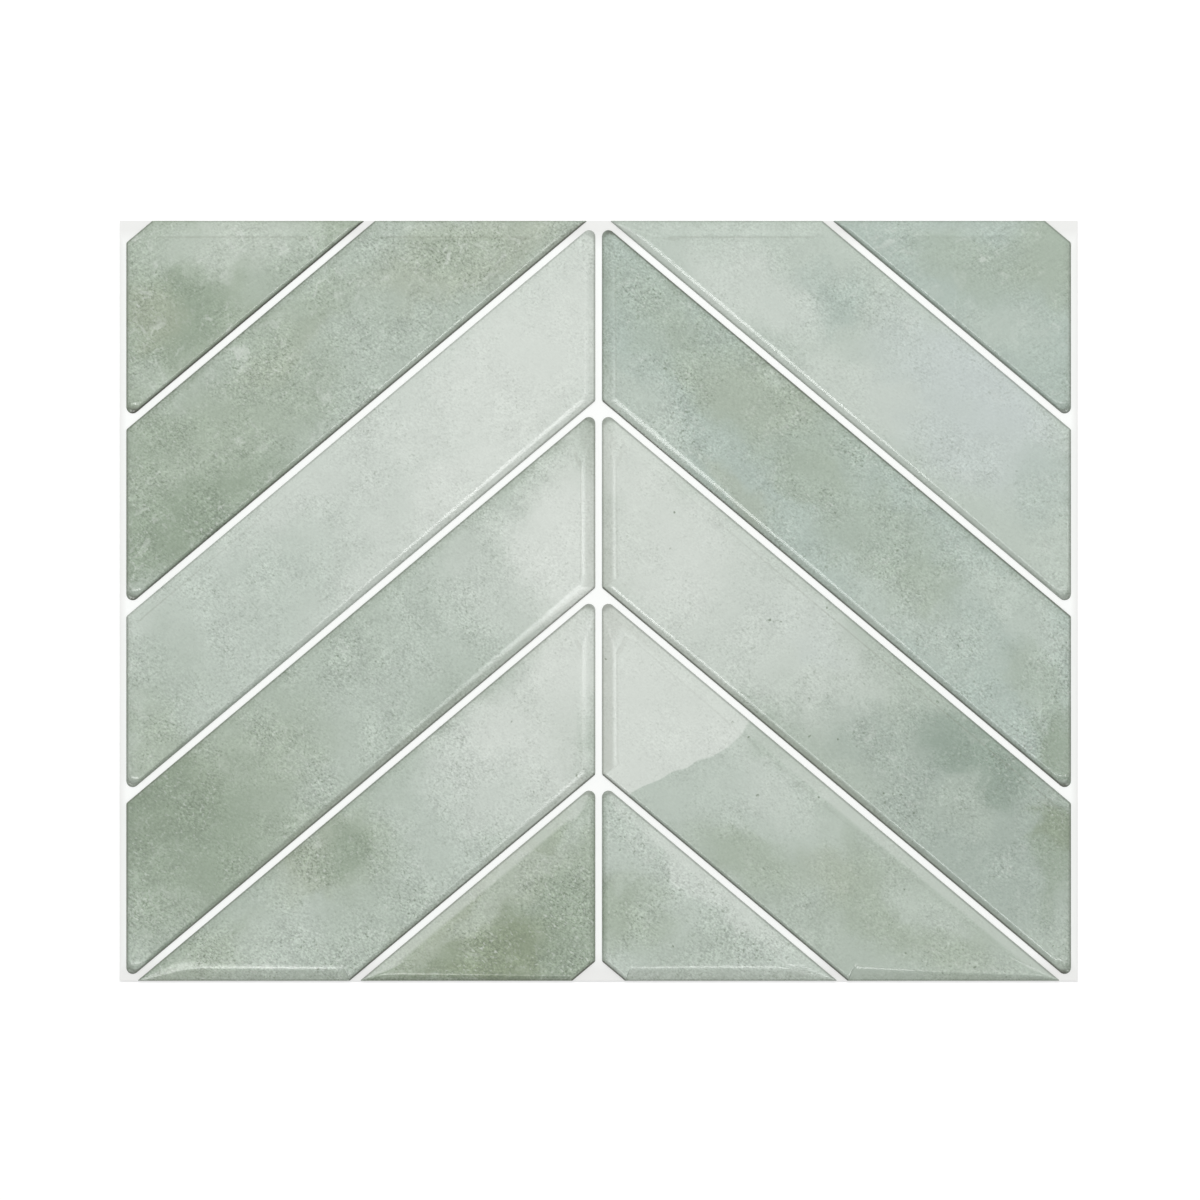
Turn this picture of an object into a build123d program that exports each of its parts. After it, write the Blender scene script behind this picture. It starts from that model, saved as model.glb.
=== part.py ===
from build123d import *
from math import ceil, cos, floor, radians, sin, sqrt, tan
import os

# Self-adhesive wall panel: domed gel tiles in a chevron on one white film.
# The back lies on z = 0, the tiles face +Z and the chevron points to +Y.

# Base film
sheet_width = 300
sheet_length = 238
base_thickness = 0.5

# Chevron layout: slanted courses that meet at a joint on the sheet's centre line.
# The middle joint's height is taken at the middle of its column, from the sheet's own middle.
border_width = 2.1
centre_joint_width = 2.1
course_joint_width = 2.1
slant = 40
course_pitch = 58.5
middle_joint_height = -0.4
least_offcut = 10

# Gel tiles: an upright wall, then a round meniscus that runs level into the top
gel_height = 1.5
wall_height = 0.4
meniscus_width = 4
tip_radius = 2
shoulder_radius = 1

# How far the meniscus cut reaches outside the tile's wall and above its top
cut_margin = 0.2

half_length = sheet_length / 2
outer_x = border_width - sheet_width / 2
inner_x = -centre_joint_width / 2
column_x = (outer_x + inner_x) / 2
rise = tan(radians(slant))
half_joint_rise = course_joint_width / 2 / cos(radians(slant))
cut_reach = sheet_width + sheet_length

# The meniscus is one arc, level at the top, and its cut carries on a little way outside the wall
meniscus_rise = gel_height - wall_height
crown_radius = (meniscus_width**2 + meniscus_rise**2) / (2 * meniscus_rise)
cut_floor = gel_height - crown_radius + sqrt(crown_radius**2 - (meniscus_width + cut_margin) ** 2)


def joint_y(course, x):
    """Height of the joint below a course of the left column; course 0 is just above the middle joint."""
    return middle_joint_height + course * course_pitch + rise * (x - column_x)


def edge_plane(x, y, inward):
    """Upright plane across a straight tile edge, with its X pointing into the tile."""
    angle = radians(inward)
    return Plane(
        origin=(x, y, base_thickness),
        x_dir=(cos(angle), sin(angle), 0),
        z_dir=(sin(angle), -cos(angle), 0),
    )


def tile_edges(course):
    """Planes across each line that can bound a tile: four of its own and the sheet's two ends."""
    return (
        edge_plane(outer_x, 0, 0),
        edge_plane(inner_x, 0, 180),
        edge_plane(0, half_length, -90),
        edge_plane(0, -half_length, 90),
        edge_plane(0, joint_y(course, 0) + half_joint_rise, slant + 90),
        edge_plane(0, joint_y(course + 1, 0) - half_joint_rise, slant - 90),
    )


# A course gets a tile where at least the least offcut of its height fits on the sheet
first_course = ceil((least_offcut - half_length + half_joint_rise - joint_y(1, inner_x)) / course_pitch)
last_course = floor((half_length - least_offcut - half_joint_rise - joint_y(0, outer_x)) / course_pitch)

os.makedirs("parts", exist_ok=True)

# Base film, cut square
with BuildPart() as base_sheet:
    with BuildSketch():
        Rectangle(sheet_width, sheet_length)
    extrude(amount=base_thickness)
base_sheet.part.label = "base_sheet"
export_step(base_sheet.part, "parts/base_sheet.step")

# Gel tiles, numbered upwards and downwards from the middle joint: the left column, and its mirror image
for course in range(first_course, last_course + 1):
    place = f"upper_{course + 1}" if course >= 0 else f"lower_{-course}"

    with BuildPart() as left_tile:
        with BuildSketch(Plane.XY.offset(base_thickness)) as outline:
            with BuildLine():
                Polyline(
                    (outer_x, joint_y(course, outer_x) + half_joint_rise),
                    (inner_x, joint_y(course, inner_x) + half_joint_rise),
                    (inner_x, joint_y(course + 1, inner_x) - half_joint_rise),
                    (outer_x, joint_y(course + 1, outer_x) - half_joint_rise),
                    close=True,
                )
            make_face()
            shoulders = outline.vertices().sort_by(Axis.Y)[1:-1]
            fillet(shoulders, shoulder_radius)
            corners = outline.vertices().sort_by(Axis.Y)
            fillet([corners[0], corners[-1]], tip_radius)
            Rectangle(sheet_width, sheet_length, mode=Mode.INTERSECT)
        extrude(amount=gel_height)
        for plane in tile_edges(course):
            with BuildSketch(plane):
                with BuildLine():
                    crest = (meniscus_width, gel_height)
                    meniscus = TangentArc(crest, (-cut_margin, cut_floor), tangent=(-1, 0))
                    Polyline(
                        meniscus @ 1,
                        (-cut_margin, gel_height + cut_margin),
                        (meniscus_width, gel_height + cut_margin),
                        crest,
                    )
                make_face()
            extrude(amount=cut_reach, both=True, mode=Mode.SUBTRACT)
    left_tile.part.label = f"gel_tile_left_{place}"
    export_step(left_tile.part, f"parts/gel_tile_left_{place}.step")

    with BuildPart() as right_tile:
        mirror(left_tile.part, about=Plane.YZ)
    right_tile.part.label = f"gel_tile_right_{place}"
    export_step(right_tile.part, f"parts/gel_tile_right_{place}.step")
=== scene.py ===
import math

import bpy
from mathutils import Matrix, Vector
from mathutils.geometry import convex_hull_2d, delaunay_2d_cdt, intersect_line_line


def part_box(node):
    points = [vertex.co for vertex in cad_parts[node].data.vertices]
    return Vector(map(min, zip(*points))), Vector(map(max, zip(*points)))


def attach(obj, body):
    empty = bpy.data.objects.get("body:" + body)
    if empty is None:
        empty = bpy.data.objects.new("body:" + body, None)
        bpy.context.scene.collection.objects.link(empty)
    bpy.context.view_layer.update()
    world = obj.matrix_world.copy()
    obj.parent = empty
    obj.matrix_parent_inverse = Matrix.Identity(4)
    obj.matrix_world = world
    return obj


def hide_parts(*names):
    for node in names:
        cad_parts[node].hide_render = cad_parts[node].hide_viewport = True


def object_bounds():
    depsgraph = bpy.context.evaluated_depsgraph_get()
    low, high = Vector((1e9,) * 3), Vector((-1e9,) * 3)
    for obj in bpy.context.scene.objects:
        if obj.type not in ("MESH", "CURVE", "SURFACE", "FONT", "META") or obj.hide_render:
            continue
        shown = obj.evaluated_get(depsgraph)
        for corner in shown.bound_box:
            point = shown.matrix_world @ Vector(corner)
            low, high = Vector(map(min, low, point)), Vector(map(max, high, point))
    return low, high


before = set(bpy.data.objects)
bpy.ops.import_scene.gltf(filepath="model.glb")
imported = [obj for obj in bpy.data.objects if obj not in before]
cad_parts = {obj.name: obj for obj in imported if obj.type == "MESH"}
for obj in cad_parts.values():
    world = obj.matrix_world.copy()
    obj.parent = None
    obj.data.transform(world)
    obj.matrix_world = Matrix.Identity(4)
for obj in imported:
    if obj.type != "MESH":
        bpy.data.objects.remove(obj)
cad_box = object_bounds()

MM = 0.001

# Sizes of the panel, from the CAD frame
SHEET_LOW, SHEET_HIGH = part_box("base_sheet")
FILM_TOP = SHEET_HIGH.z
GEL_HEIGHT = cad_box[1][2] - FILM_TOP

# Section of a gel tile: a round knuckle at the edge, then a rim that climbs to a soft ridge
KNUCKLE_WIDTH = 0.35 * MM
KNUCKLE_HEIGHT = 0.45 * MM
RIM_WANDER = 0.06
SWELL_HEIGHT = 0.02 * MM
SWELL_SIZE = 45 * MM

# The rim on each kind of side. Its width and the roundness of its ridge are in mm. The shade is painted
# shade over the rim's band, and where it is negative it is painted light and reflection that make the band
# lighter; the line is painted shade at the very edge, the next value painted shade along the ridge, and the
# fringe is grit along the edge. A value is one number, or three: at the sheet's side, half-way and at its
# centre line, or on an upright side at the sheet's head, half-way and at its foot.
RIMS = {
    "lower": {"width": 0.8, "round": 0.7, "shade": 0.05, "line": 0.85, "crease": 0.0, "fringe": 0.15},
    "upper": {"width": 3.0, "round": 1.2, "shade": -0.05, "line": 0.45, "crease": 0.0, "fringe": 0.3},
    "inner": {
        "width": (3.4, 4.0, 4.2), "round": 1.5, "shade": (0.02, 0.2, 0.24),
        "line": 0.4, "crease": 0.1, "fringe": 0.2,
    },
    "outer": {"width": 0.5, "round": 0.4, "shade": 0.0, "line": 0.45, "crease": 0.0, "fringe": 0.5},
    "foot": {"width": 4.1, "round": 1.6, "shade": 0.15, "line": 0.3, "crease": 0.05, "fringe": 0.4},
    "head": {"width": 4.4, "round": 1.2, "shade": 0.03, "line": 0.2, "crease": 0.15, "fringe": 0.2},
}
SIDE_BLEND = 4
INNER_REACH = 10 * MM
SQUARE_ON = 0.99
SOFTEST_RIDGE = 0.9

# Mesh of a gel tile: rings over the knuckle at set depths, one on the rim, rings over the ridge at set
# shares of its roundness, then a field of points inside them
KNUCKLE_DEPTHS = [depth * KNUCKLE_WIDTH for depth in (0, 0.05, 0.16, 0.35, 0.62, 1)]
RIDGE_STATIONS = (-1, -0.75, -0.5, -0.3, -0.15, 0, 0.15, 0.3, 0.5, 0.75, 1)
RING_STEP = 2.5 * MM
FIELD_STEP = 4.5 * MM
CORNER_POINTS = 9
TRIMMED_CORNER_RADIUS = 0.15 * MM
CORNER_EASING = 0.45
SHOULDER_EASING = 1.2
SHOULDER_TURN = math.radians(60)
LONG_SIDE = 25 * MM
SHORTEST_STRAIGHT = 3 * MM
SAME_POINT = 0.001 * MM
INSIDE_LOOP = 1

# Printed tones
PEARL = "#D6DCD5"
MIST = "#C9D1C9"
BLUE_MIST = "#C3CCCA"
PALE = "#BAC5BB"
SAGE = "#AEBAAE"
COOL_SAGE = "#ADBBB2"
MID = "#A3B09F"
COOL_MID = "#A2AFA5"
DEEP = "#91A08D"
COOL_DEEP = "#90A093"
MOSS = "#87947A"
OLIVE = "#A6AE9A"
STAIN = "#66755F"
# The next two are painted shade, not print: the first a dark line at the very edge of the gel, the second
# shade over its rims and along their ridges
PAINTED_EDGE_SHADE_TONE = "#46493D"
PAINTED_SHADE_TONE = "#7A7A6C"

# Colour sockets of a Mix node: its two inputs and its result
MIX_FIRST = 6
MIX_SECOND = 7
MIX_RESULT = 2

# Whites of the film, the film's edges and the floor
FILM_WHITE = "#FDFFFD"
FILM_EDGE = "#E9E9E7"
FLOOR_WHITE = "#F4F4F4"

# Patterns of the print: how far noise of two sizes draws the washes about. Below the last softness a wash
# stays sharp: the one such wash is a painted reflection, not print.
CLOUD_SIZE = 26 * MM
CLOUD_PULL = 24 * MM
RAGGED_SIZE = 5 * MM
RAGGED_PULL = 11 * MM
SHARP_WASH = 0.1

# Patterns of the print: its grain, strokes, flecks, specks and gritty fringe
PATCH_SIZE = 17 * MM
MOTTLE_SIZE = 7 * MM
MOTTLE_SWING = 0.12
GRAIN_SIZE = 0.55 * MM
GRAIN_SWING = 0.34
GRAIN_TURN = -0.6
GRAIN_STRETCH = 1.4
HAIR_SIZE = 0.6 * MM
HAIR_SWING = 0.12
HAIR_TURN = 0.5
HAIR_STRETCH = 16
PIT_SIZE = 0.85 * MM
PIT_STRENGTH = 0.5
FLECK_SIZE = 0.95 * MM
FLECK_STRENGTH = 0.4
FLAKE_SIZE = 3.5 * MM
FLAKE_STRENGTH = 0.5
SPECK_SPACING = 6 * MM
SPECK_RAGGEDNESS = 1.6 * MM
SPECK_RARITY = 0.6
CREEP_SIZE = 2.2 * MM
GRIT_SIZE = 0.7 * MM

# Surface of the gel, and of the film, whose pebble is drawn coarser than it is so that it shows
GEL_IOR = 1.5
GEL_LEAST_ROUGHNESS = 0.16
GEL_MOST_ROUGHNESS = 0.19
WAVE_SIZE = 9 * MM
WAVE_DEPTH = 0.02 * MM
FILM_IOR = 1.5
FILM_ROUGHNESS = 0.45
FILM_GREY_SIDE = 2.2 * MM
FILM_GREY_END = 9 * MM
FILM_GREYEST_END = 3 * MM
PEBBLE_SIZE = 0.6 * MM
PEBBLE_DEPTH = 0.02 * MM

# Each tile: its record slot, where its rims differ from the usual ones, its ground tone, and the strength
# of its grain, specks and brush strokes. Then come the washes: a tone, its middle across and up
# the sheet, its half-length and half-width in mm, its turn in degrees, its strength and its softness.
TILES = {
    "left_upper_3": ("gel_mid_sage", {
        "lower": {"width": (0.7, 0.8, 0.9), "shade": 0.15, "line": 1.0},
    }, MID, (0.6, 0.2, 0.6), [
        (MIST, -112, 114, 26, 10, 10, 0.5, 0.6),
        (PALE, -138, 112, 14, 9, 0, 0.3, 0.6),
        (DEEP, -130, 92, 20, 14, 20, 0.9, 0.6),
        (OLIVE, -140, 92, 12, 10, 0, 0.5, 0.6),
        (PALE, -143, 72, 8, 9, 0, 0.3, 0.6),
        (SAGE, -98, 106, 14, 8, 40, 0.5, 0.6),
    ]),
    "left_upper_2": ("gel_mid_sage", {
        "lower": {"width": (0.7, 1.0, 1.3), "round": (0.6, 0.9, 1.1), "shade": (0.0, 0.2, 0.28)},
        "upper": {"shade": 0.05, "fringe": (0.9, 0.4, 0.3)},
    }, SAGE, (0.85, 0.4, 0.6), [
        (MID, -132, 42, 40, 26, 40, 0.9, 0.5),
        (DEEP, -142, 22, 22, 18, 20, 0.8, 0.6),
        (DEEP, -128, 26, 22, 11, 40, 0.9, 0.6),
        (DEEP, -106, 36, 18, 9, 40, 0.5, 0.6),
        (DEEP, -138, 52, 14, 8, 30, 0.4, 0.6),
        (MID, -100, 64, 22, 14, 30, 0.7, 0.6),
        (OLIVE, -42, 109, 36, 13, 20, 0.5, 0.6),
        (OLIVE, -96, 80, 18, 7, 40, 0.4, 0.6),
        (MID, -94, 88, 26, 9, 40, 0.7, 0.6),
        (MID, -46, 110, 16, 8, 20, 0.5, 0.6),
        (PALE, -66, 76, 20, 8, 40, 0.3, 0.6),
    ]),
    "left_upper_1": ("gel_pale_sage", {
        "lower": {
            "width": (0.5, 1.5, 2.4), "round": (0.4, 1.3, 2.1),
            "shade": (0.0, 0.0, 0.04), "line": (0.5, 0.35, 0.55),
        },
        "upper": {"shade": 0.0, "line": 0.3, "fringe": 0.05, "crease": (0.2, 0.0, 0.0)},
        "inner": {"width": 2.4, "round": 2.1, "shade": 0.02, "crease": 0.0},
    }, MIST, (0.75, 0.15, 0.35), [
        (PALE, -118, -10, 44, 32, 40, 0.9, 0.5),
        (SAGE, -138, -32, 26, 26, 30, 0.8, 0.6),
        (MID, -140, -46, 12, 18, 0, 0.8, 0.6),
        (PALE, -90, 16, 22, 12, 60, 0.5, 0.6),
        # Pale print near the centre line that also paints a soft reflection of overhead light
        (PEARL, -22, 74, 46, 26, 40, 0.8, 0.6),
        (PEARL, -40, 38, 26, 9, 40, 0.8, 0.6),
    ]),
    "left_lower_1": ("gel_deep_sage", {
        "lower": {
            "width": (0.7, 2.0, 3.2), "round": (0.6, 0.9, 2.7),
            "shade": (0.0, 0.3, 0.1), "line": 0.7,
        },
        "upper": {"shade": 0.04, "fringe": 0.4},
        "inner": {"width": 3.8, "round": (1.5, 2.4, 2.8), "shade": 0.14, "crease": 0.15},
    }, SAGE, (0.8, 0.2, 0.3), [
        (MID, -114, -62, 42, 30, 40, 0.9, 0.5),
        (DEEP, -130, -76, 34, 24, 30, 0.9, 0.6),
        (MOSS, -136, -62, 20, 12, 30, 0.25, 0.6),
        (DEEP, -142, -66, 22, 20, 0, 0.8, 0.6),
        (STAIN, -142, -66, 18, 14, 0, 0.2, 0.6),
        (DEEP, -140, -100, 10, 10, 0, 0.4, 0.6),
        (SAGE, -84, -54, 16, 8, 40, 0.6, 0.6),
        (PALE, -72, -34, 30, 14, 50, 0.5, 0.6),
        (PALE, -44, -6, 26, 24, 40, 0.5, 0.6),
        (MIST, -28, 8, 24, 28, 40, 0.6, 0.6),
        # Pale print near the centre line that also paints a soft reflection of overhead light
        (PEARL, -8, 20, 20, 34, 0, 1.0, 0.7),
    ]),
    "left_lower_2": ("gel_light_sage", {
        "lower": {"width": (0.7, 0.9, 2.6), "round": (0.5, 0.8, 1.6), "shade": (0.0, 0.08, 0.14)},
        "upper": {"shade": 0.02, "fringe": 0.35},
        "inner": {"width": 3.6, "round": 3.0, "shade": -0.15},
    }, SAGE, (0.9, 0.8, 0.3), [
        (OLIVE, -86, -80, 20, 12, 30, 0.6, 0.6),
        (MID, -120, -109, 22, 11, 20, 0.9, 0.6),
        (PALE, -102, -104, 18, 9, 20, 0.6, 0.5),
        (MID, -74, -78, 20, 16, 40, 0.7, 0.6),
        (DEEP, -82, -80, 16, 9, 20, 0.5, 0.6),
        (PALE, -44, -66, 22, 22, 40, 0.9, 0.5),
        (MIST, -32, -54, 24, 26, 40, 0.8, 0.5),
        # Pale print near the centre line that also paints a soft reflection of overhead light
        (PEARL, -22, -34, 26, 18, 40, 0.7, 0.6),
        (PEARL, -8, -12, 20, 18, 50, 0.9, 0.6),
        (PEARL, -12, -54, 14, 9, 40, 0.5, 0.6),
        (PALE, -48, -84, 12, 8, 40, 0.5, 0.6),
        (DEEP, -76, -79, 9, 9, 0, 0.6, 0.5),
        (OLIVE, -52, -104, 14, 7, 40, 0.5, 0.6),
    ]),
    "left_lower_3": ("gel_deep_sage", {
        "lower": {"shade": 0.1},
        "upper": {"width": 4.0, "round": 1.4, "shade": -0.45, "fringe": 0.1},
        "inner": {"width": 1.2, "round": 1.0, "shade": 0.0, "crease": 0.0},
        "foot": {
            "width": (1.4, 1.4, 0.8), "round": (1.2, 1.2, 0.6),
            "shade": 0.05, "crease": 0.0, "fringe": 0.9,
        },
    }, MID, (0.95, 0.2, 0.3), [
        (OLIVE, -36, -94, 40, 9, 40, 0.5, 0.6),
        (MOSS, -30, -110, 22, 11, 20, 0.9, 0.6),
        (MOSS, -36, -117, 30, 4, 0, 0.6, 0.8),
        (DEEP, -8, -112, 12, 12, 0, 0.6, 0.6),
        (DEEP, -10, -95, 12, 10, 0, 0.5, 0.6),
        (PALE, -22, -84, 34, 5, 40, 0.35, 0.5),
        (PALE, -6, -66, 9, 5, 50, 0.5, 0.6),
    ]),
    "right_upper_3": ("gel_mid_sage", {
        "lower": {"shade": 0.0, "line": 0.7},
        "upper": {"shade": 0.0, "fringe": 0.2},
        "head": {"crease": 0.05},
    }, COOL_SAGE, (0.5, 0.1, 0.6), [
        (MID, 140, 106, 14, 18, 0, 0.7, 0.6),
        (MID, 116, 106, 22, 10, -30, 0.5, 0.6),
        (PALE, 124, 84, 16, 9, -30, 0.5, 0.6),
    ]),
    "right_upper_2": ("gel_light_sage", {
        "lower": {
            "width": (0.8, 1.8, 2.0), "round": (0.7, 1.6, 1.8),
            "shade": (-0.1, -0.25, -0.25), "line": 0.45,
        },
        "upper": {"fringe": 0.15},
    }, PALE, (0.6, 0.3, 0.3), [
        (BLUE_MIST, 116, 60, 40, 24, -40, 0.6, 0.5),
        (BLUE_MIST, 122, 68, 22, 12, -30, 0.5, 0.6),
        (MIST, 80, 64, 24, 12, -40, 0.6, 0.6),
        (COOL_SAGE, 68, 96, 18, 12, 0, 0.9, 0.6),
        (MIST, 48, 98, 26, 12, -30, 0.8, 0.6),
        (COOL_SAGE, 140, 36, 14, 16, 0, 0.5, 0.6),
    ]),
    "right_upper_1": ("gel_deep_sage", {
        "lower": {
            "width": (0.8, 2.0, 2.6), "round": (0.7, 1.4, 1.9),
            "shade": (0.15, 0.15, 0.08), "line": 0.9,
        },
        "upper": {"shade": 0.04, "line": 0.75, "fringe": 0.55},
        "inner": {"shade": 0.08, "fringe": 0.5},
    }, COOL_SAGE, (0.85, 0.3, 0.3), [
        (MID, 44, 68, 54, 14, -40, 0.6, 0.6),
        (PALE, 130, -4, 24, 12, -40, 0.7, 0.6),
        (DEEP, 144, -46, 10, 12, 0, 0.8, 0.6),
        (MID, 136, -26, 16, 9, -40, 0.5, 0.6),
        (PALE, 96, -3, 30, 10, -40, 0.6, 0.6),
        (OLIVE, 50, 66, 26, 10, -20, 0.25, 0.6),
        (MID, 102, 4, 14, 9, -40, 0.6, 0.6),
        (MID, 66, 36, 14, 9, -40, 0.6, 0.6),
        (PALE, 8, 62, 26, 14, -40, 0.8, 0.6),
        (MID, 88, 20, 22, 12, -20, 0.5, 0.6),
        (OLIVE, 42, 34, 18, 6, -40, 0.4, 0.6),
    ]),
    "right_lower_1": ("gel_light_sage", {
        "lower": {
            "width": (1.3, 1.9, 1.6), "round": (1.1, 0.9, 1.4),
            "shade": (0.1, 0.28, 0.12), "line": 0.9,
        },
        "upper": {"fringe": 0.15, "crease": (0.25, 0.2, 0.0)},
    }, SAGE, (0.65, 0.8, 0.3), [
        (COOL_MID, 122, -70, 44, 30, -40, 0.9, 0.5),
        (COOL_DEEP, 118, -49, 22, 10, -40, 0.9, 0.6),
        (DEEP, 144, -80, 8, 18, 0, 0.7, 0.6),
        (SAGE, 112, -64, 16, 10, 0, 0.6, 0.6),
        (COOL_DEEP, 122, -52, 16, 9, -40, 0.7, 0.6),
        (MIST, 62, -12, 30, 22, -40, 0.8, 0.5),
        (BLUE_MIST, 64, -8, 18, 9, -40, 0.4, 0.6),
        (MIST, 38, 2, 34, 34, -40, 0.8, 0.5),
        (COOL_MID, 84, -38, 14, 9, -40, 0.5, 0.6),
        # Pale print near the centre line that also paints a soft reflection of overhead light
        (PEARL, 18, 14, 30, 26, -40, 0.75, 0.6),
        (PEARL, 10, 44, 20, 14, -50, 0.8, 0.6),
        (MIST, 66, -6, 14, 8, -40, 0.5, 0.6),
        (MIST, 44, -23, 18, 7, -40, 0.4, 0.6),
        (MOSS, 145, -72, 7, 8, 0, 0.5, 0.5),
    ]),
    "right_lower_2": ("gel_mid_sage", {
        "lower": {"width": (1.2, 0.6, 0.6), "round": (1.0, 0.5, 0.5), "shade": 0.0},
        # Its upper rim's lighter band is painted reflection too, carrying the veil on along the edge
        "upper": {
            "width": (3.4, 4.6, 3.4), "round": 0.9, "shade": (-0.3, -0.45, 0.2),
            "fringe": 0.1, "crease": 0.08,
        },
        "foot": {"width": (0.8, 4.1, 4.1), "round": (0.6, 1.4, 1.6), "shade": 0.08},
    }, SAGE, (0.55, 0.8, 0.2), [
        (MID, 92, -96, 40, 14, -40, 0.8, 0.5),
        (MID, 47, -80, 20, 10, -40, 0.7, 0.6),
        (PALE, 102, -96, 16, 8, -40, 0.7, 0.6),
        (PALE, 52, -60, 34, 14, -40, 0.9, 0.5),
        (MIST, 46, -52, 30, 9, -40, 0.5, 0.6),
        (OLIVE, 72, -86, 12, 8, 0, 0.25, 0.6),
        (PALE, 26, -56, 22, 20, 0, 0.9, 0.5),
        # Painted reflection: a pale veil with a sharp wavy edge over the tile's upper left
        (PEARL, 10, -25, 60, 32, 28, 0.9, 0.02),
        # Pale print near the centre line that also paints a soft reflection of overhead light
        (PEARL, 6, -24, 14, 30, 0, 0.6, 0.7),
    ]),
    "right_lower_3": ("gel_light_sage", {
        "lower": {"shade": 0.1},
        "upper": {"width": (2.6, 3.0, 4.0), "shade": (-0.05, -0.2, -0.3), "fringe": 0.1},
        "inner": {"width": 1.2, "round": 1.0, "shade": 0.05, "crease": 0.0, "fringe": 0.4},
    }, PALE, (1.0, 1.0, 0.3), [
        (MIST, 34, -90, 34, 6, -40, 0.9, 0.5),
        (MID, 8, -97, 16, 12, 0, 0.9, 0.6),
        (SAGE, 28, -108, 20, 10, 0, 0.7, 0.6),
        (PALE, 6, -74, 8, 10, 0, 0.6, 0.6),
    ]),
}


def linear(code):
    """Linear colour with alpha from an sRGB hex code."""
    channels = [int(code[place:place + 2], 16) / 255 for place in (1, 3, 5)]
    return [c / 12.92 if c <= 0.04045 else ((c + 0.055) / 1.055) ** 2.4 for c in channels] + [1.0]


def add(tree, kind, inputs=None, **settings):
    """A new node with its settings, and with each input linked to a socket or set to a value."""
    new = tree.nodes.new(kind)
    for name, value in settings.items():
        setattr(new, name, value)
    for key, value in (inputs or {}).items():
        if isinstance(value, bpy.types.NodeSocket):
            tree.links.new(value, new.inputs[key])
        else:
            new.inputs[key].default_value = value
    return new


def new_material(name):
    """An empty node material: its tree and its output node."""
    material = bpy.data.materials.new(name)
    material.use_nodes = True
    material.node_tree.nodes.clear()
    return material, material.node_tree, material.node_tree.nodes.new("ShaderNodeOutputMaterial")


def drawn_about(tree, where, size, pull, octaves):
    """Coordinates pulled about by noise of one size."""
    noise = add(tree, "ShaderNodeTexNoise", {
        "Vector": where, "Scale": 1 / size, "Detail": octaves, "Roughness": 0.55,
    })
    centred = add(tree, "ShaderNodeVectorMath", {
        0: noise.outputs["Color"], 1: (0.5, 0.5, 0.5),
    }, operation="SUBTRACT")
    return add(tree, "ShaderNodeVectorMath", {
        0: centred.outputs[0], 1: (pull, pull, 0), 2: where,
    }, operation="MULTIPLY_ADD").outputs[0]


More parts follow.
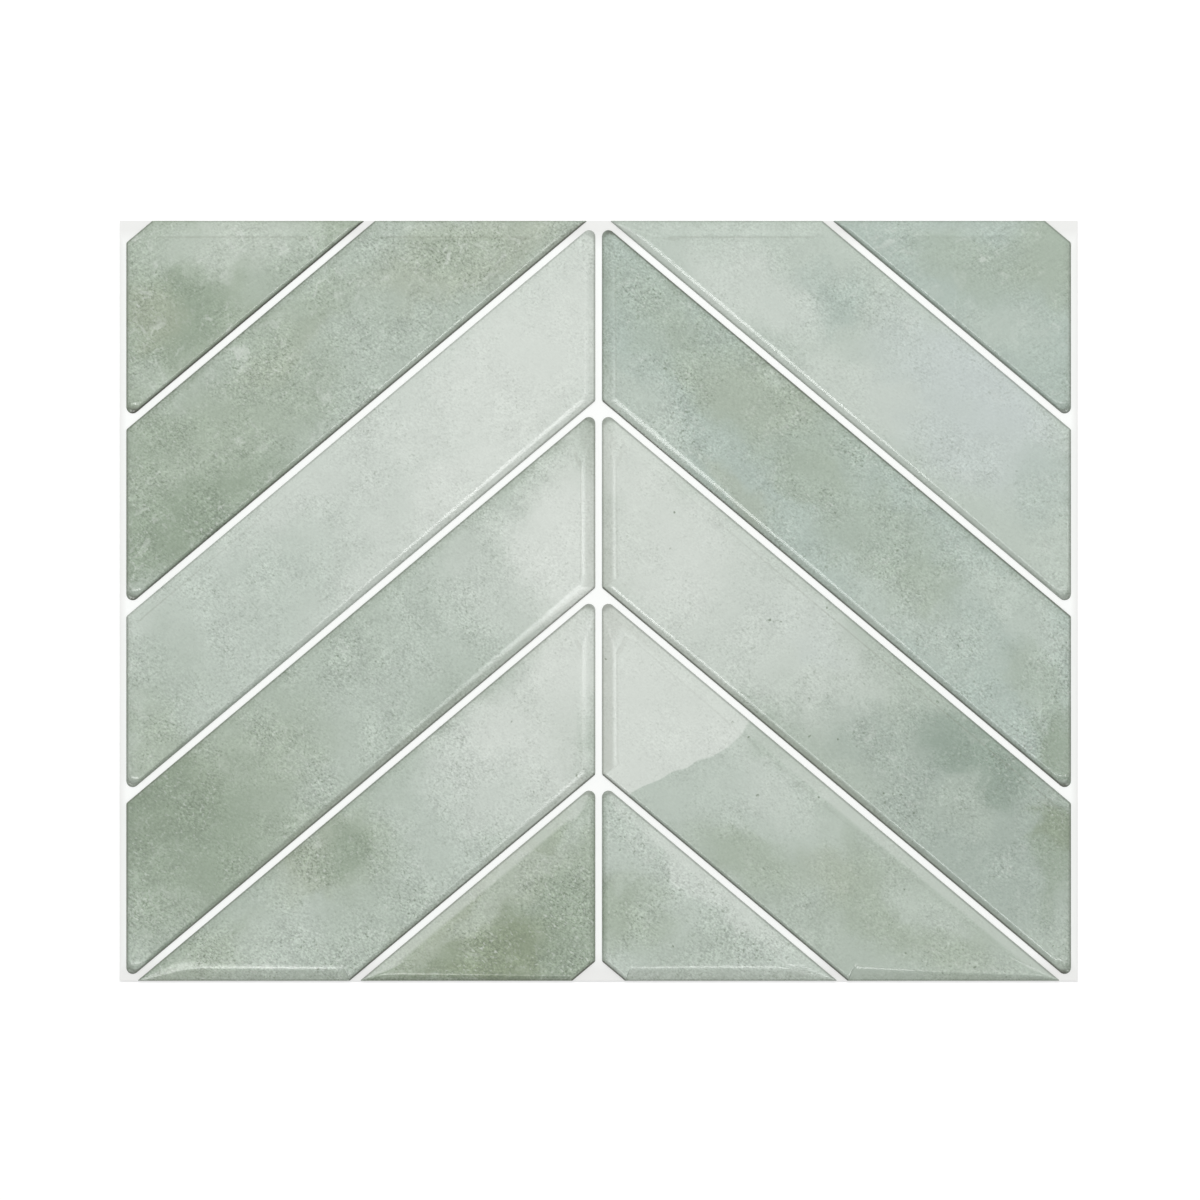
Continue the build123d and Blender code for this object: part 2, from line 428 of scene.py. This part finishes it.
def printed_gel(place, ground, detail, washes):
    """Clear polyurethane gel poured over a printed film and levelled by itself: a wet, even gloss over
    watercolour washes with a stony grain, darker with painted shade where the gel thins out to its edge,
    and lighter with painted light in some bands there."""
    material, tree, output = new_material("printed gel " + place)
    here = add(tree, "ShaderNodeTexCoord").outputs["Object"]
    grain, specks, brush = detail

    # Washes: ellipses drawn about by noise, or by slow noise alone where they end sharply
    slow = drawn_about(tree, here, CLOUD_SIZE, CLOUD_PULL, 2.0)
    ragged = drawn_about(tree, slow, RAGGED_SIZE, RAGGED_PULL, 4.0)
    colour = linear(ground)
    for tone, x, y, half_length, half_width, turn, strength, softness in washes:
        within = add(tree, "ShaderNodeMapping", {
            "Vector": ragged if softness > SHARP_WASH else slow,
            "Location": (x * MM, y * MM, 0),
            "Rotation": (0, 0, math.radians(turn)),
            "Scale": (half_length * MM, half_width * MM, 1),
        }, vector_type="TEXTURE")
        reach = add(tree, "ShaderNodeVectorMath", {0: within.outputs[0]}, operation="LENGTH")
        amount = add(tree, "ShaderNodeMapRange", {
            "Value": reach.outputs["Value"],
            "From Min": 1 - softness, "From Max": 1 + softness / 2, "To Min": strength, "To Max": 0.0,
        }, interpolation_type="SMOOTHSTEP")
        colour = add(tree, "ShaderNodeMix", {
            "Factor": amount.outputs["Result"], MIX_FIRST: colour, MIX_SECOND: linear(tone),
        }, data_type="RGBA").outputs[MIX_RESULT]

    # Stony grain: mottling, grit that comes and goes in patches, and fine brush strokes
    strokes = add(tree, "ShaderNodeMapping", {
        "Vector": here, "Rotation": (0, 0, GRAIN_TURN), "Scale": (GRAIN_STRETCH, 1, 1),
    }, vector_type="TEXTURE").outputs[0]
    hairs = add(tree, "ShaderNodeMapping", {
        "Vector": here, "Rotation": (0, 0, HAIR_TURN), "Scale": (HAIR_STRETCH, 1, 1),
    }, vector_type="TEXTURE").outputs[0]
    patches = add(tree, "ShaderNodeTexNoise", {"Vector": here, "Scale": 1 / PATCH_SIZE, "Detail": 3.0})
    patchy = add(tree, "ShaderNodeMapRange", {
        "Value": patches.outputs[0], "From Min": 0.35, "From Max": 0.65, "To Min": 0.3, "To Max": 1.35,
    })
    depth_of_tone = add(tree, "ShaderNodeRGBToBW", {"Color": colour})
    fading = add(tree, "ShaderNodeMapRange", {
        "Value": depth_of_tone.outputs[0],
        "From Min": 0.42, "From Max": 0.72, "To Min": 1.25, "To Max": 0.45,
    })
    patched = add(tree, "ShaderNodeMath", {
        0: patchy.outputs[0], 1: fading.outputs[0],
    }, operation="MULTIPLY").outputs[0]
    brightness = 1.0
    for where, size, octaves, swing in (
        (here, MOTTLE_SIZE, 5.0, MOTTLE_SWING * grain),
        (strokes, GRAIN_SIZE, 3.0, GRAIN_SWING * grain),
        (hairs, HAIR_SIZE, 1.0, HAIR_SWING * brush),
    ):
        noise = add(tree, "ShaderNodeTexNoise", {"Vector": where, "Scale": 1 / size, "Detail": octaves})
        swung = add(tree, "ShaderNodeMapRange", {
            "Value": noise.outputs[0],
            "From Min": 0.2, "From Max": 0.8, "To Min": -swing, "To Max": swing,
        })
        brightness = add(tree, "ShaderNodeMath", {
            0: swung.outputs[0], 1: patched, 2: brightness,
        }, operation="MULTIPLY_ADD").outputs[0]
    colour = add(tree, "ShaderNodeHueSaturation", {"Color": colour, "Value": brightness}).outputs[0]

    # Dark pits and pale flecks of the grit, thick in the same patches, and larger pale flakes
    for where, size, tone, most in (
        (here, PIT_SIZE, STAIN, PIT_STRENGTH * grain),
        (strokes, FLECK_SIZE, PEARL, FLECK_STRENGTH * grain),
        (ragged, FLAKE_SIZE, PEARL, FLAKE_STRENGTH * brush),
    ):
        noise = add(tree, "ShaderNodeTexNoise", {"Vector": where, "Scale": 1 / size, "Detail": 2.0})
        fleck = add(tree, "ShaderNodeMapRange", {
            "Value": noise.outputs[0], "From Min": 0.58, "From Max": 0.72, "To Min": 0.0, "To Max": most,
        })
        flecked = add(tree, "ShaderNodeMath", {0: fleck.outputs[0], 1: patched}, operation="MULTIPLY")
        colour = add(tree, "ShaderNodeMix", {
            "Factor": flecked.outputs[0], MIX_FIRST: colour, MIX_SECOND: linear(tone),
        }, data_type="RGBA").outputs[MIX_RESULT]

    # Specks: small ragged dark dots, in some cells only
    dots = add(tree, "ShaderNodeTexVoronoi", {
        "Vector": drawn_about(tree, here, SPECK_RAGGEDNESS, SPECK_RAGGEDNESS, 2.0),
        "Scale": 1 / SPECK_SPACING,
    })
    dot = add(tree, "ShaderNodeMapRange", {
        "Value": dots.outputs["Distance"],
        "From Min": 0.03, "From Max": 0.09, "To Min": specks, "To Max": 0.0,
    })
    picked = add(tree, "ShaderNodeMath", {
        0: dots.outputs["Color"], 1: SPECK_RARITY,
    }, operation="GREATER_THAN")
    speck = add(tree, "ShaderNodeMath", {0: dot.outputs[0], 1: picked.outputs[0]}, operation="MULTIPLY")
    colour = add(tree, "ShaderNodeMix", {
        "Factor": speck.outputs[0], MIX_FIRST: colour, MIX_SECOND: linear(STAIN),
    }, data_type="RGBA").outputs[MIX_RESULT]

    # Fringe of grit that creeps in from the edge
    edge, rim, shade, line, crease, fringe = [
        add(tree, "ShaderNodeAttribute", attribute_name=name).outputs["Fac"]
        for name in ("edge_mm", "rim_share", "rim_shade", "edge_line", "crease", "fringe")
    ]
    creep = add(tree, "ShaderNodeTexNoise", {
        "Vector": here, "Scale": 1 / CREEP_SIZE, "Detail": 4.0, "Roughness": 0.7,
    })
    reach = add(tree, "ShaderNodeMapRange", {
        "Value": creep.outputs[0], "From Min": 0.35, "From Max": 0.7, "To Min": 0.5, "To Max": 5.0,
    })
    share = add(tree, "ShaderNodeMath", {0: edge, 1: reach.outputs[0]}, operation="DIVIDE")
    near = add(tree, "ShaderNodeMapRange", {
        "Value": share.outputs[0], "From Min": 0.0, "From Max": 1.0, "To Min": 1.0, "To Max": 0.0,
    })
    grit = add(tree, "ShaderNodeTexNoise", {"Vector": here, "Scale": 1 / GRIT_SIZE, "Detail": 2.0})
    gritty = add(tree, "ShaderNodeMapRange", {
        "Value": grit.outputs[0], "From Min": 0.4, "From Max": 0.62, "To Min": 0.25, "To Max": 0.9,
    })
    fringed = add(tree, "ShaderNodeMath", {0: near.outputs[0], 1: gritty.outputs[0]}, operation="MULTIPLY")

    # Painted shade over the rim's band, painted light where the band turns lighter, a painted shade line
    # along its ridge, and a painted shade line at the very edge
    rimmed = add(tree, "ShaderNodeMapRange", {
        "Value": rim, "From Min": 0.6, "From Max": 0.95, "To Min": 1.0, "To Max": 0.0,
    }, interpolation_type="SMOOTHSTEP")
    # Painted light: the band turns lighter where its shade value is negative
    painted_rim_light = add(tree, "ShaderNodeMath", {0: shade, 1: -1.0}, operation="MULTIPLY")
    # Painted shade: a thin dark line along the rim's ridge
    off_ridge = add(tree, "ShaderNodeMath", {0: rim, 1: 1.1, 2: 0.08}, operation="COMPARE")
    # Painted shade: a dark line at the very edge, where the gel's wall turns down
    lined = add(tree, "ShaderNodeMapRange", {
        "Value": edge, "From Min": 0.2, "From Max": 0.8, "To Min": 1.0, "To Max": 0.0,
    }, interpolation_type="SMOOTHSTEP")
    for strength, mask, tone in (
        (fringe, fringed.outputs[0], STAIN),
        (shade, rimmed.outputs["Result"], PAINTED_SHADE_TONE),
        (painted_rim_light.outputs[0], rimmed.outputs["Result"], PEARL),
        (crease, off_ridge.outputs[0], PAINTED_SHADE_TONE),
        (line, lined.outputs["Result"], PAINTED_EDGE_SHADE_TONE),
    ):
        share = add(tree, "ShaderNodeMath", {0: strength, 1: mask}, operation="MULTIPLY", use_clamp=True)
        colour = add(tree, "ShaderNodeMix", {
            "Factor": share.outputs[0], MIX_FIRST: colour, MIX_SECOND: linear(tone),
        }, data_type="RGBA").outputs[MIX_RESULT]

    # A gloss that is a little duller in patches, over a faint waviness
    gloss = add(tree, "ShaderNodeMapRange", {
        "Value": patches.outputs[0],
        "From Min": 0.3, "From Max": 0.7, "To Min": GEL_LEAST_ROUGHNESS, "To Max": GEL_MOST_ROUGHNESS,
    })
    waves = add(tree, "ShaderNodeTexNoise", {"Vector": here, "Scale": 1 / WAVE_SIZE, "Detail": 1.0})
    wavy = add(tree, "ShaderNodeBump", {
        "Height": waves.outputs[0], "Strength": 0.2, "Distance": WAVE_DEPTH,
    })
    shader = add(tree, "ShaderNodeBsdfPrincipled", {
        "Base Color": colour,
        "Roughness": gloss.outputs[0],
        "IOR": GEL_IOR,
        "Normal": wavy.outputs[0],
    })
    tree.links.new(shader.outputs[0], output.inputs["Surface"])
    return material


def white_film():
    """Calendered white vinyl film: a soft satin white, a little greyer towards its cut edges."""
    material, tree, output = new_material("white vinyl film")
    place = add(tree, "ShaderNodeTexCoord").outputs["Object"]
    axes = add(tree, "ShaderNodeSeparateXYZ", {0: place})
    across = add(tree, "ShaderNodeMath", {0: axes.outputs["X"]}, operation="ABSOLUTE")
    along = add(tree, "ShaderNodeMath", {0: axes.outputs["Y"]}, operation="ABSOLUTE")
    side = add(tree, "ShaderNodeMapRange", {
        "Value": across.outputs[0],
        "From Min": SHEET_HIGH.x - FILM_GREY_SIDE, "From Max": SHEET_HIGH.x,
        "To Min": 0.0, "To Max": 0.8,
    })
    end = add(tree, "ShaderNodeMapRange", {
        "Value": along.outputs[0],
        "From Min": SHEET_HIGH.y - FILM_GREY_END, "From Max": SHEET_HIGH.y - FILM_GREYEST_END,
        "To Min": 0.0, "To Max": 0.8,
    })
    grey = add(tree, "ShaderNodeMath", {0: side.outputs[0], 1: end.outputs[0]}, operation="MAXIMUM")
    colour = add(tree, "ShaderNodeMix", {
        "Factor": grey.outputs[0], MIX_FIRST: linear(FILM_WHITE), MIX_SECOND: linear(FILM_EDGE),
    }, data_type="RGBA")
    pebble = add(tree, "ShaderNodeTexNoise", {"Vector": place, "Scale": 1 / PEBBLE_SIZE, "Detail": 2.0})
    bump = add(tree, "ShaderNodeBump", {
        "Height": pebble.outputs[0], "Strength": 0.15, "Distance": PEBBLE_DEPTH,
    })
    shader = add(tree, "ShaderNodeBsdfPrincipled", {
        "Base Color": colour.outputs[MIX_RESULT],
        "Roughness": FILM_ROUGHNESS,
        "IOR": FILM_IOR,
        "Normal": bump.outputs[0],
    })
    tree.links.new(shader.outputs[0], output.inputs["Surface"])
    return material


def tile_sides(node):
    """Straight sides of a tile's footprint, anticlockwise: a point, a direction and the radius of
    the corner after it."""
    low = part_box(node)[0].z
    found = {}
    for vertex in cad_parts[node].data.vertices:
        if vertex.co.z - low < SAME_POINT:
            found[(round(vertex.co.x / SAME_POINT), round(vertex.co.y / SAME_POINT))] = vertex.co.xy
    points = list(found.values())
    hull = [points[i] for i in convex_hull_2d(points)]
    area = sum(a.cross(b) for a, b in zip(hull, hull[1:] + hull[:1]))
    if area < 0:
        hull.reverse()
    straight = [
        (a, b) for a, b in zip(hull, hull[1:] + hull[:1]) if (b - a).length > SHORTEST_STRAIGHT
    ]
    sides = []
    for (a, b), (c, d) in zip(straight, straight[1:] + straight[:1]):
        direction = (b - a).normalized()
        turn = direction.angle((d - c).normalized())
        corner = meet(a, direction, c, (d - c).normalized())
        radius = (corner - b).length / math.tan(turn / 2)
        sides.append((a, direction, max(radius, TRIMMED_CORNER_RADIUS)))
    return sides


def meet(a, along_a, b, along_b):
    """Point where two lines of the sheet cross."""
    crossing = intersect_line_line(a.to_3d(), (a + along_a).to_3d(), b.to_3d(), (b + along_b).to_3d())
    return crossing[0].xy


def inward(direction):
    """Direction square to an anticlockwise side, into the tile."""
    return Vector((-direction.y, direction.x))


def outline_ring(sides, inset):
    """Points of a tile's outline moved inwards: its corners rounded, its sides divided alike on every
    ring."""
    lengths = [(after[0] - side[0]).length for side, after in zip(sides, sides[1:] + sides[:1])]
    corners = []
    for place, (a, along_a, radius) in enumerate(sides):
        after = (place + 1) % len(sides)
        b, along_b, _ = sides[after]
        corner = meet(a + inward(along_a) * inset, along_a, b + inward(along_b) * inset, along_b)
        turn = along_a.angle(along_b)
        gentle = turn < SHOULDER_TURN and min(lengths[place], lengths[after]) > LONG_SIDE
        easing = SHOULDER_EASING if gentle else CORNER_EASING
        corners.append((corner, along_a, along_b, turn / 2, radius + easing * inset))
    ring = []
    for place, (corner, along_a, along_b, half_turn, radius) in enumerate(corners):
        centre = corner - along_a * radius * math.tan(half_turn) + inward(along_a) * radius
        start = math.atan2(-along_a.x, along_a.y)
        for step in range(CORNER_POINTS):
            angle = start + 2 * half_turn * step / (CORNER_POINTS - 1)
            ring.append(centre + radius * Vector((math.cos(angle), math.sin(angle))))
        next_corner, _, _, next_half_turn, next_radius = corners[(place + 1) % len(corners)]
        first = ring[-1]
        last = next_corner - along_b * next_radius * math.tan(next_half_turn)
        divisions = max(2, round(lengths[(place + 1) % len(sides)] / RING_STEP))
        ring.extend(first.lerp(last, step / divisions) for step in range(1, divisions))
    return ring


def side_kind(start, direction):
    """Which rim a side gets, from the way it looks and where it stands."""
    outward = -inward(direction)
    if abs(outward.x) > SQUARE_ON:
        return "inner" if abs(start.x) < INNER_REACH else "outer"
    if abs(outward.y) > SQUARE_ON:
        return "head" if outward.y > 0 else "foot"
    return "upper" if outward.y > 0 else "lower"


def depth_inside(point, sides):
    """Distance of a point from the nearest side."""
    return min((point - start).dot(inward(direction)) for start, direction, _ in sides)


def along_side(value, place):
    """A rim's value at a place from 0 to 2: the number itself, or between its three numbers."""
    if not isinstance(value, tuple):
        return value
    first, middle, last = value
    if place < 1:
        return first + (middle - first) * place
    return middle + (last - middle) * (place - 1)


def rim_at(point, sides, own_rims):
    """Values of the rim near a point: those of the tile's sides, the nearer ones counting for more."""
    total = 0
    sums = dict.fromkeys(RIMS["lower"], 0)
    for start, direction, _ in sides:
        kind = side_kind(start, direction)
        upright = kind in ("inner", "outer")
        place = 1 - point.y / SHEET_HIGH.y if upright else 2 - 2 * abs(point.x) / SHEET_HIGH.x
        weight = max((point - start).dot(inward(direction)), SAME_POINT) ** -SIDE_BLEND
        total += weight
        for name, value in (RIMS[kind] | own_rims.get(kind, {})).items():
            sums[name] += weight * along_side(value, place)
    rim = {name: value / total for name, value in sums.items()}
    rim["softness"] = min(SOFTEST_RIDGE, rim["round"] / rim["width"])
    return rim


def flat_tile(name, sides, own_rims):
    """Flat closed mesh of a tile's footprint on the film, which knows its rim at each point."""
    outline = outline_ring(sides, 0)
    step_in = [(moved - point) / MM for point, moved in zip(outline, outline_ring(sides, MM))]
    count = len(outline)
    outline_rims = [rim_at(point, sides, own_rims) for point in outline]
    rings = [([depth] * count, [0] * count) for depth in KNUCKLE_DEPTHS]
    ring_shares = [[(1 - rim["softness"]) / 2 for rim in outline_rims]]
    ring_shares += [[1 + station * rim["softness"] for rim in outline_rims] for station in RIDGE_STATIONS]
    for shares in ring_shares:
        ring_depths = [
            KNUCKLE_WIDTH + share * rim["width"] * MM for share, rim in zip(shares, outline_rims)
        ]
        rings.append((ring_depths, shares))
    points = []
    depths = []
    shares = []
    for ring_depths, ring_share in rings:
        points += [point + step * depth for point, step, depth in zip(outline, step_in, ring_depths)]
        depths += ring_depths
        shares += ring_share
    rims = outline_rims * len(rings)
    faces = []
    first_inner = len(points) - count
    for start in range(0, first_inner, count):
        for step in range(count):
            after = (step + 1) % count
            faces.append((start + step, start + after, start + count + after, start + count + step))

    # Field of points inside the last ring, in staggered rows
    inner = points[first_inner:]
    low_x, high_x = min(p.x for p in inner), max(p.x for p in inner)
    low_y, high_y = min(p.y for p in inner), max(p.y for p in inner)
    row_step = FIELD_STEP * math.sin(math.pi / 3)
    field = []
    for row in range(int((high_y - low_y) / row_step) + 1):
        for column in range(int((high_x - low_x) / FIELD_STEP) + 1):
            point = Vector((low_x + (column + row % 2 / 2) * FIELD_STEP, low_y + row * row_step))
            rim = rim_at(point, sides, own_rims)
            rim_depth = KNUCKLE_WIDTH + (1 + rim["softness"]) * rim["width"] * MM
            if depth_inside(point, sides) > rim_depth + FIELD_STEP / 2:
                field.append(point)
    loop = [(step, (step + 1) % count) for step in range(count)]
    _, _, made_faces, made_from, _, _ = delaunay_2d_cdt(inner + field, loop, [], INSIDE_LOOP, SAME_POINT)
    for face in made_faces:
        faces.append([first_inner + made_from[corner][0] for corner in face])
    faces.append(range(count - 1, -1, -1))
    field_rims = [rim_at(point, sides, own_rims) for point in field]
    field_depths = [depth_inside(point, sides) for point in field]
    points += field
    depths += field_depths
    shares += [
        (depth - KNUCKLE_WIDTH) / rim["width"] / MM for depth, rim in zip(field_depths, field_rims)
    ]
    rims += field_rims

    mesh = bpy.data.meshes.new(name)
    mesh.from_pydata([(point.x, point.y, FILM_TOP) for point in points], [], faces)
    mesh.polygons.foreach_set("use_smooth", [True] * (len(faces) - 1) + [False])
    values = {"edge_mm": [depth / MM for depth in depths], "rim_share": shares}
    for title, quantity in (
        ("ridge_softness", "softness"), ("rim_shade", "shade"), ("edge_line", "line"),
        ("crease", "crease"), ("fringe", "fringe"),
    ):
        values[title] = [rim[quantity] for rim in rims]
    for title, numbers in values.items():
        mesh.attributes.new(title, "FLOAT", "POINT").data.foreach_set("value", numbers)
    tile = bpy.data.objects.new(name, mesh)
    bpy.context.scene.collection.objects.link(tile)
    return tile


def gel_dome_tree():
    """Geometry Nodes that raise a flat tile into gel: a round knuckle at the edge, a sloping rim, a soft
    ridge and a nearly level top that swells a little."""
    tree = bpy.data.node_groups.new("gel dome", "GeometryNodeTree")
    tree.interface.new_socket("Geometry", in_out="INPUT", socket_type="NodeSocketGeometry")
    sizes = {}
    for name in (
        "Gel Height", "Knuckle Height", "Knuckle Width", "Rim Wander", "Swell Height", "Swell Size", "Seed",
    ):
        sizes[name] = tree.interface.new_socket(name, in_out="INPUT", socket_type="NodeSocketFloat")
    sizes["Material"] = tree.interface.new_socket(
        "Material", in_out="INPUT", socket_type="NodeSocketMaterial",
    )
    tree.interface.new_socket("Geometry", in_out="OUTPUT", socket_type="NodeSocketGeometry")
    given = tree.nodes.new("NodeGroupInput").outputs
    edge_mm, rim_share, softness = [
        add(tree, "GeometryNodeInputNamedAttribute", {"Name": name}, data_type="FLOAT").outputs["Attribute"]
        for name in ("edge_mm", "rim_share", "ridge_softness")
    ]
    edge = add(tree, "ShaderNodeMath", {0: edge_mm, 1: MM}, operation="MULTIPLY")

    # A slow noise widens and narrows the rim, and swells the top
    spacing = add(tree, "ShaderNodeMath", {0: 1.0, 1: given["Swell Size"]}, operation="DIVIDE")
    slow = add(tree, "ShaderNodeTexNoise", {
        "W": given["Seed"], "Scale": spacing.outputs[0], "Detail": 0.0,
    }, noise_dimensions="4D")
    wander = add(tree, "ShaderNodeMapRange", {
        "Value": slow.outputs[0], "From Min": 0.3, "From Max": 0.7, "To Min": -1.0, "To Max": 1.0,
    })
    stretch = add(tree, "ShaderNodeMath", {
        0: wander.outputs[0], 1: given["Rim Wander"], 2: 1.0,
    }, operation="MULTIPLY_ADD")

    # Height of the knuckle: a quarter ellipse
    across = add(tree, "ShaderNodeMath", {
        0: edge.outputs[0], 1: given["Knuckle Width"],
    }, operation="DIVIDE", use_clamp=True)
    left_over = add(tree, "ShaderNodeMath", {0: 1.0, 1: across.outputs[0]}, operation="SUBTRACT")
    squared = add(tree, "ShaderNodeMath", {0: left_over.outputs[0], 1: 2.0}, operation="POWER")
    remainder = add(tree, "ShaderNodeMath", {0: 1.0, 1: squared.outputs[0]}, operation="SUBTRACT")
    quarter = add(tree, "ShaderNodeMath", {0: remainder.outputs[0]}, operation="SQRT")
    knuckle = add(tree, "ShaderNodeMath", {
        0: quarter.outputs[0], 1: given["Knuckle Height"],
    }, operation="MULTIPLY")

    # Height of the rim: a straight slope that turns level at a soft ridge
    climb = add(tree, "ShaderNodeMath", {0: rim_share, 1: stretch.outputs[0]}, operation="DIVIDE")
    slope = add(tree, "ShaderNodeMath", {0: climb.outputs[0], 1: 1.0, 2: softness}, operation="SMOOTH_MIN")
    rise = add(tree, "ShaderNodeMath", {
        0: given["Gel Height"], 1: given["Knuckle Height"],
    }, operation="SUBTRACT")
    rim_height = add(tree, "ShaderNodeMath", {
        0: slope.outputs[0], 1: rise.outputs[0], 2: knuckle.outputs[0],
    }, operation="MULTIPLY_ADD")
    swell = add(tree, "ShaderNodeMath", {
        0: slow.outputs[0], 1: given["Swell Height"],
    }, operation="MULTIPLY")
    sunk = add(tree, "ShaderNodeMath", {0: swell.outputs[0], 1: slope.outputs[0]}, operation="MULTIPLY")
    height = add(tree, "ShaderNodeMath", {
        0: rim_height.outputs[0], 1: sunk.outputs[0],
    }, operation="SUBTRACT")
    offset = add(tree, "ShaderNodeCombineXYZ", {"Z": height.outputs[0]})
    raised = add(tree, "GeometryNodeSetPosition", {
        "Geometry": given["Geometry"], "Offset": offset.outputs[0],
    })
    plain = add(tree, "GeometryNodeRealizeInstances", {"Geometry": raised.outputs[0]})
    finished = add(tree, "GeometryNodeSetMaterial", {
        "Geometry": plain.outputs[0], "Material": given["Material"],
    })
    add(tree, "NodeGroupOutput", {0: finished.outputs[0]})
    return tree, {name: socket.identifier for name, socket in sizes.items()}


def gel_tile(place, tree, inputs, seed):
    """One finished gel tile in place of its CAD solid."""
    node = "gel_tile_" + place
    slot, own_rims, *look = TILES[place]
    tile = flat_tile("gel_" + place, tile_sides(node), own_rims)
    dome = tile.modifiers.new("gel dome", "NODES")
    dome.node_group = tree
    values = {
        "Gel Height": GEL_HEIGHT,
        "Knuckle Height": KNUCKLE_HEIGHT,
        "Knuckle Width": KNUCKLE_WIDTH,
        "Rim Wander": RIM_WANDER,
        "Swell Height": SWELL_HEIGHT,
        "Swell Size": SWELL_SIZE,
        "Seed": float(seed),
        "Material": printed_gel(place, *look),
    }
    for name, value in values.items():
        dome[inputs[name]] = value
    bpy.context.view_layer.update()
    raised = bpy.data.meshes.new_from_object(tile.evaluated_get(bpy.context.evaluated_depsgraph_get()))
    tile.modifiers.remove(dome)
    tile.data = raised
    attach(tile, "root")
    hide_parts(node)


def dress_panel():
    """The film's finish, and the gel tiles on it."""
    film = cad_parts["base_sheet"]
    film.data.materials.clear()
    film.data.materials.append(white_film())
    tree, inputs = gel_dome_tree()
    for seed, place in enumerate(TILES):
        gel_tile(place, tree, inputs, seed)


# Studio: the photograph's frame in pixels, and the sheet's edges in it
FRAME_PIXELS = 1200
SHEET_LEFT_PIXEL = 119.3
SHEET_RIGHT_PIXEL = 1078.0
SHEET_MIDDLE_ROW = 600.75
CAMERA_HEIGHT = 2.4
CLIP_START = 0.01
SENSOR = 36
FLOOR_GAP = 0.1 * MM
FLOOR_SIZE = 8
FLOOR_LIFT = 0.22
ROOM_LIGHT = 0.62

# Softboxes: place and size in metres, power in watts, and how they show: as light on the print or in the
# gloss
SOFTBOXES = {
    "key softbox": ((0, 1.2, 1.8), (1.2, 0.8), 20.5, "light"),
    "left tiles' card": ((0.58, -0.656, 2.0), (0.155, 0.95), 4.6, "gloss"),
    "right tiles' card": ((-0.587, -0.65, 2.0), (0.196, 0.95), 5.5, "gloss"),
    "right tiles' end card": ((-0.28, -0.74, 2.0), (0.16, 0.65), 1.8, "gloss"),
    "right side card": ((0.68, 0.005, 2.0), (0.11, 0.5), 1.3, "gloss"),
    "left side card": ((-0.68, 0.0, 2.0), (0.24, 0.5), 1.3, "gloss"),
    "left foot card": ((-0.203, -0.86, 2.0), (0.1, 0.36), 2.2, "gloss"),
    "right foot card": ((0.1, -0.84, 2.0), (0.09, 0.26), 1.2, "gloss"),
}


def seen_white(tree):
    """One for rays that show the background to the eye, straight or by gloss, and none for rays that
    light."""
    rays = add(tree, "ShaderNodeLightPath").outputs
    seen = rays["Is Camera Ray"]
    for kind in ("Is Glossy Ray", "Is Transmission Ray"):
        seen = add(tree, "ShaderNodeMath", {0: seen, 1: rays[kind]}, operation="MAXIMUM").outputs[0]
    return seen


def studio():
    """White floor, soft room light, lamps, and the camera square above the panel."""
    floor_mesh = bpy.data.meshes.new("floor")
    half = FLOOR_SIZE / 2
    corners = [(-half, -half), (half, -half), (half, half), (-half, half)]
    floor_mesh.from_pydata([(x, y, -FLOOR_GAP) for x, y in corners], [], [(0, 1, 2, 3)])
    floor = bpy.data.objects.new("floor", floor_mesh)
    bpy.context.scene.collection.objects.link(floor)
    material, tree, output = new_material("white studio floor")
    lift = add(tree, "ShaderNodeMath", {0: seen_white(tree), 1: FLOOR_LIFT}, operation="MULTIPLY")
    paper = add(tree, "ShaderNodeBsdfDiffuse", {"Color": linear(FLOOR_WHITE)})
    glow = add(tree, "ShaderNodeEmission", {"Color": (1, 1, 1, 1), "Strength": lift.outputs[0]})
    both = add(tree, "ShaderNodeAddShader", {0: paper.outputs[0], 1: glow.outputs[0]})
    tree.links.new(both.outputs[0], output.inputs["Surface"])
    floor_mesh.materials.append(material)

    world = bpy.data.worlds.new("white room")
    world.use_nodes = True
    tree = world.node_tree
    tree.nodes.clear()
    strength = add(tree, "ShaderNodeMapRange", {
        "Value": seen_white(tree), "To Min": ROOM_LIGHT, "To Max": 1.0,
    })
    background = add(tree, "ShaderNodeBackground", {
        "Color": (1, 1, 1, 1), "Strength": strength.outputs[0],
    })
    add(tree, "ShaderNodeOutputWorld", {"Surface": background.outputs[0]})
    bpy.context.scene.world = world

    for name, (place, size, power, shown_as) in SOFTBOXES.items():
        softbox(name, place, size, power, shown_as)

    scale = (SHEET_HIGH.x - SHEET_LOW.x) / (SHEET_RIGHT_PIXEL - SHEET_LEFT_PIXEL)
    camera = bpy.data.objects.new("camera", bpy.data.cameras.new("camera"))
    bpy.context.scene.collection.objects.link(camera)
    camera.data.sensor_width = SENSOR
    camera.data.lens = SENSOR * CAMERA_HEIGHT / (FRAME_PIXELS * scale)
    camera.data.clip_start = CLIP_START
    camera.location = (
        (FRAME_PIXELS / 2 - (SHEET_LEFT_PIXEL + SHEET_RIGHT_PIXEL) / 2) * scale,
        (SHEET_MIDDLE_ROW - FRAME_PIXELS / 2) * scale,
        CAMERA_HEIGHT + cad_box[1][2],
    )
    bpy.context.scene.camera = camera
    bpy.context.scene.view_settings.view_transform = "Standard"


def softbox(name, place, size, power, shown_as):
    """Rectangular area lamp that faces the middle of the panel."""
    lamp = bpy.data.lights.new(name, "AREA")
    lamp.shape = "RECTANGLE"
    lamp.size, lamp.size_y = size
    lamp.energy = power
    holder = bpy.data.objects.new(name, lamp)
    bpy.context.scene.collection.objects.link(holder)
    holder.location = place
    holder.rotation_euler = (-Vector(place)).to_track_quat("-Z", "Y").to_euler()
    holder.visible_diffuse = shown_as == "light"
    holder.visible_glossy = shown_as == "gloss"


dress_panel()
studio()
